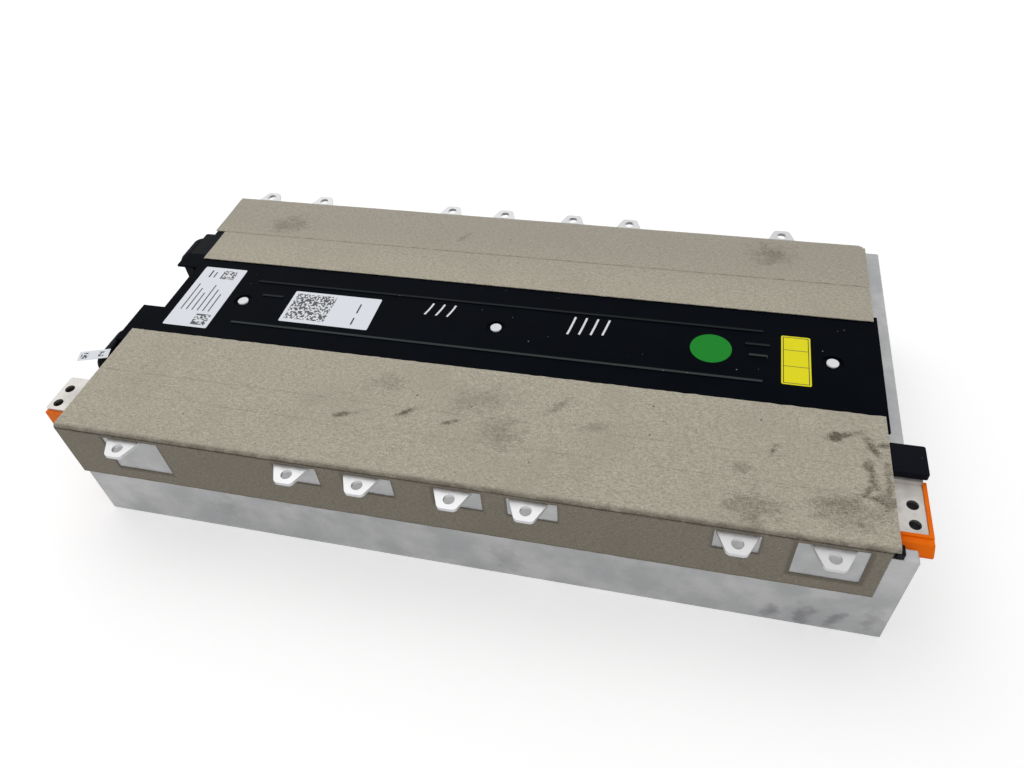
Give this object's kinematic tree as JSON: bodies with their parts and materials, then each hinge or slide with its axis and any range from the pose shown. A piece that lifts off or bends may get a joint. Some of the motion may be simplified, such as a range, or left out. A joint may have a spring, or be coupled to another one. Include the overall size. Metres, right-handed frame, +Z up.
{
  "type": "electric vehicle battery module",
  "caption": "Flat rectangular traction battery module with aluminium end and side plates, bent lugs, cloth-wrapped busbar lids, a plastic centre cover and bolted terminals.",
  "frame": {"origin": "middle of the flat underside, between the end plates and between the side plates", "axes": "+X along the module towards the right terminal, +Y from the front side plate with both terminals' pads to the back one, +Z up"},
  "size_m": [0.6721, 0.359, 0.108],
  "materials": {
    "aluminium_case": "mill finish, lightly mottled",
    "thermal_pad": "matt",
    "insulator": "matt",
    "liner_film": "satin film",
    "cell_can": "satin",
    "cell_foam": "matt foam",
    "tray": "matt",
    "vent_shield": "matt mica sheet",
    "busbar": "satin",
    "terminal_metal": "satin, nickel plated",
    "insert_metal": "satin",
    "orange_plastic": "satin",
    "lid_plastic": "matt",
    "cover_plastic": "satin",
    "clip_plastic": "satin",
    "wrap_cloth": "woven glass cloth, stained",
    "label_white": "satin label",
    "label_yellow": "satin label",
    "label_green": "satin sticker",
    "connector_plastic": "matt",
    "cable_jacket": "satin"
  },
  "bodies": {
    "root": {"base_plate": "aluminium_case", "thermal_pad": "thermal_pad", "side_plate_front": "aluminium_case", "side_plate_back": "aluminium_case", "end_plate_left": "aluminium_case", "end_plate_right": "aluminium_case", "end_insulator_left": "insulator", "end_insulator_right": "insulator", "side_liner_front": "liner_film", "side_liner_back": "liner_film", "cell_01": "cell_can", "cell_02": "cell_can", "cell_03": "cell_can", "cell_04": "cell_can", "cell_05": "cell_can", "cell_06": "cell_can", "cell_07": "cell_can", "cell_08": "cell_can", "cell_09": "cell_can", "cell_10": "cell_can", "cell_11": "cell_can", "cell_12": "cell_can", "cell_13": "cell_can", "cell_14": "cell_can", "cell_15": "cell_can", "cell_16": "cell_can", "cell_17": "cell_can", "cell_18": "cell_can", "cell_pads": "cell_foam", "contact_tray": "tray", "vent_shield": "vent_shield", "busbar_links_back": "busbar", "busbar_links_front": "busbar", "terminal_bar_left": "terminal_metal", "terminal_bar_right": "terminal_metal", "terminal_inserts_left": "insert_metal", "terminal_inserts_right": "insert_metal", "terminal_block_left": "orange_plastic", "terminal_block_right": "orange_plastic", "terminal_cap": "lid_plastic", "busbar_lid_front": "lid_plastic", "busbar_lid_back": "lid_plastic", "centre_cover": "cover_plastic", "cover_clips": "clip_plastic", "wrap_front": "wrap_cloth", "wrap_back": "wrap_cloth", "wrap_middle": "wrap_cloth", "label_white_large": "label_white", "label_white_small": "label_white", "label_yellow": "label_yellow", "label_green": "label_green", "sense_connector_back": "connector_plastic", "sense_connector_front": "connector_plastic", "sense_connector_end": "connector_plastic", "harness_loop": "cable_jacket", "harness_lead": "cable_jacket", "harness_flag": "label_white", "corner_seal": "cable_jacket"}
  },
  "joints": []
}
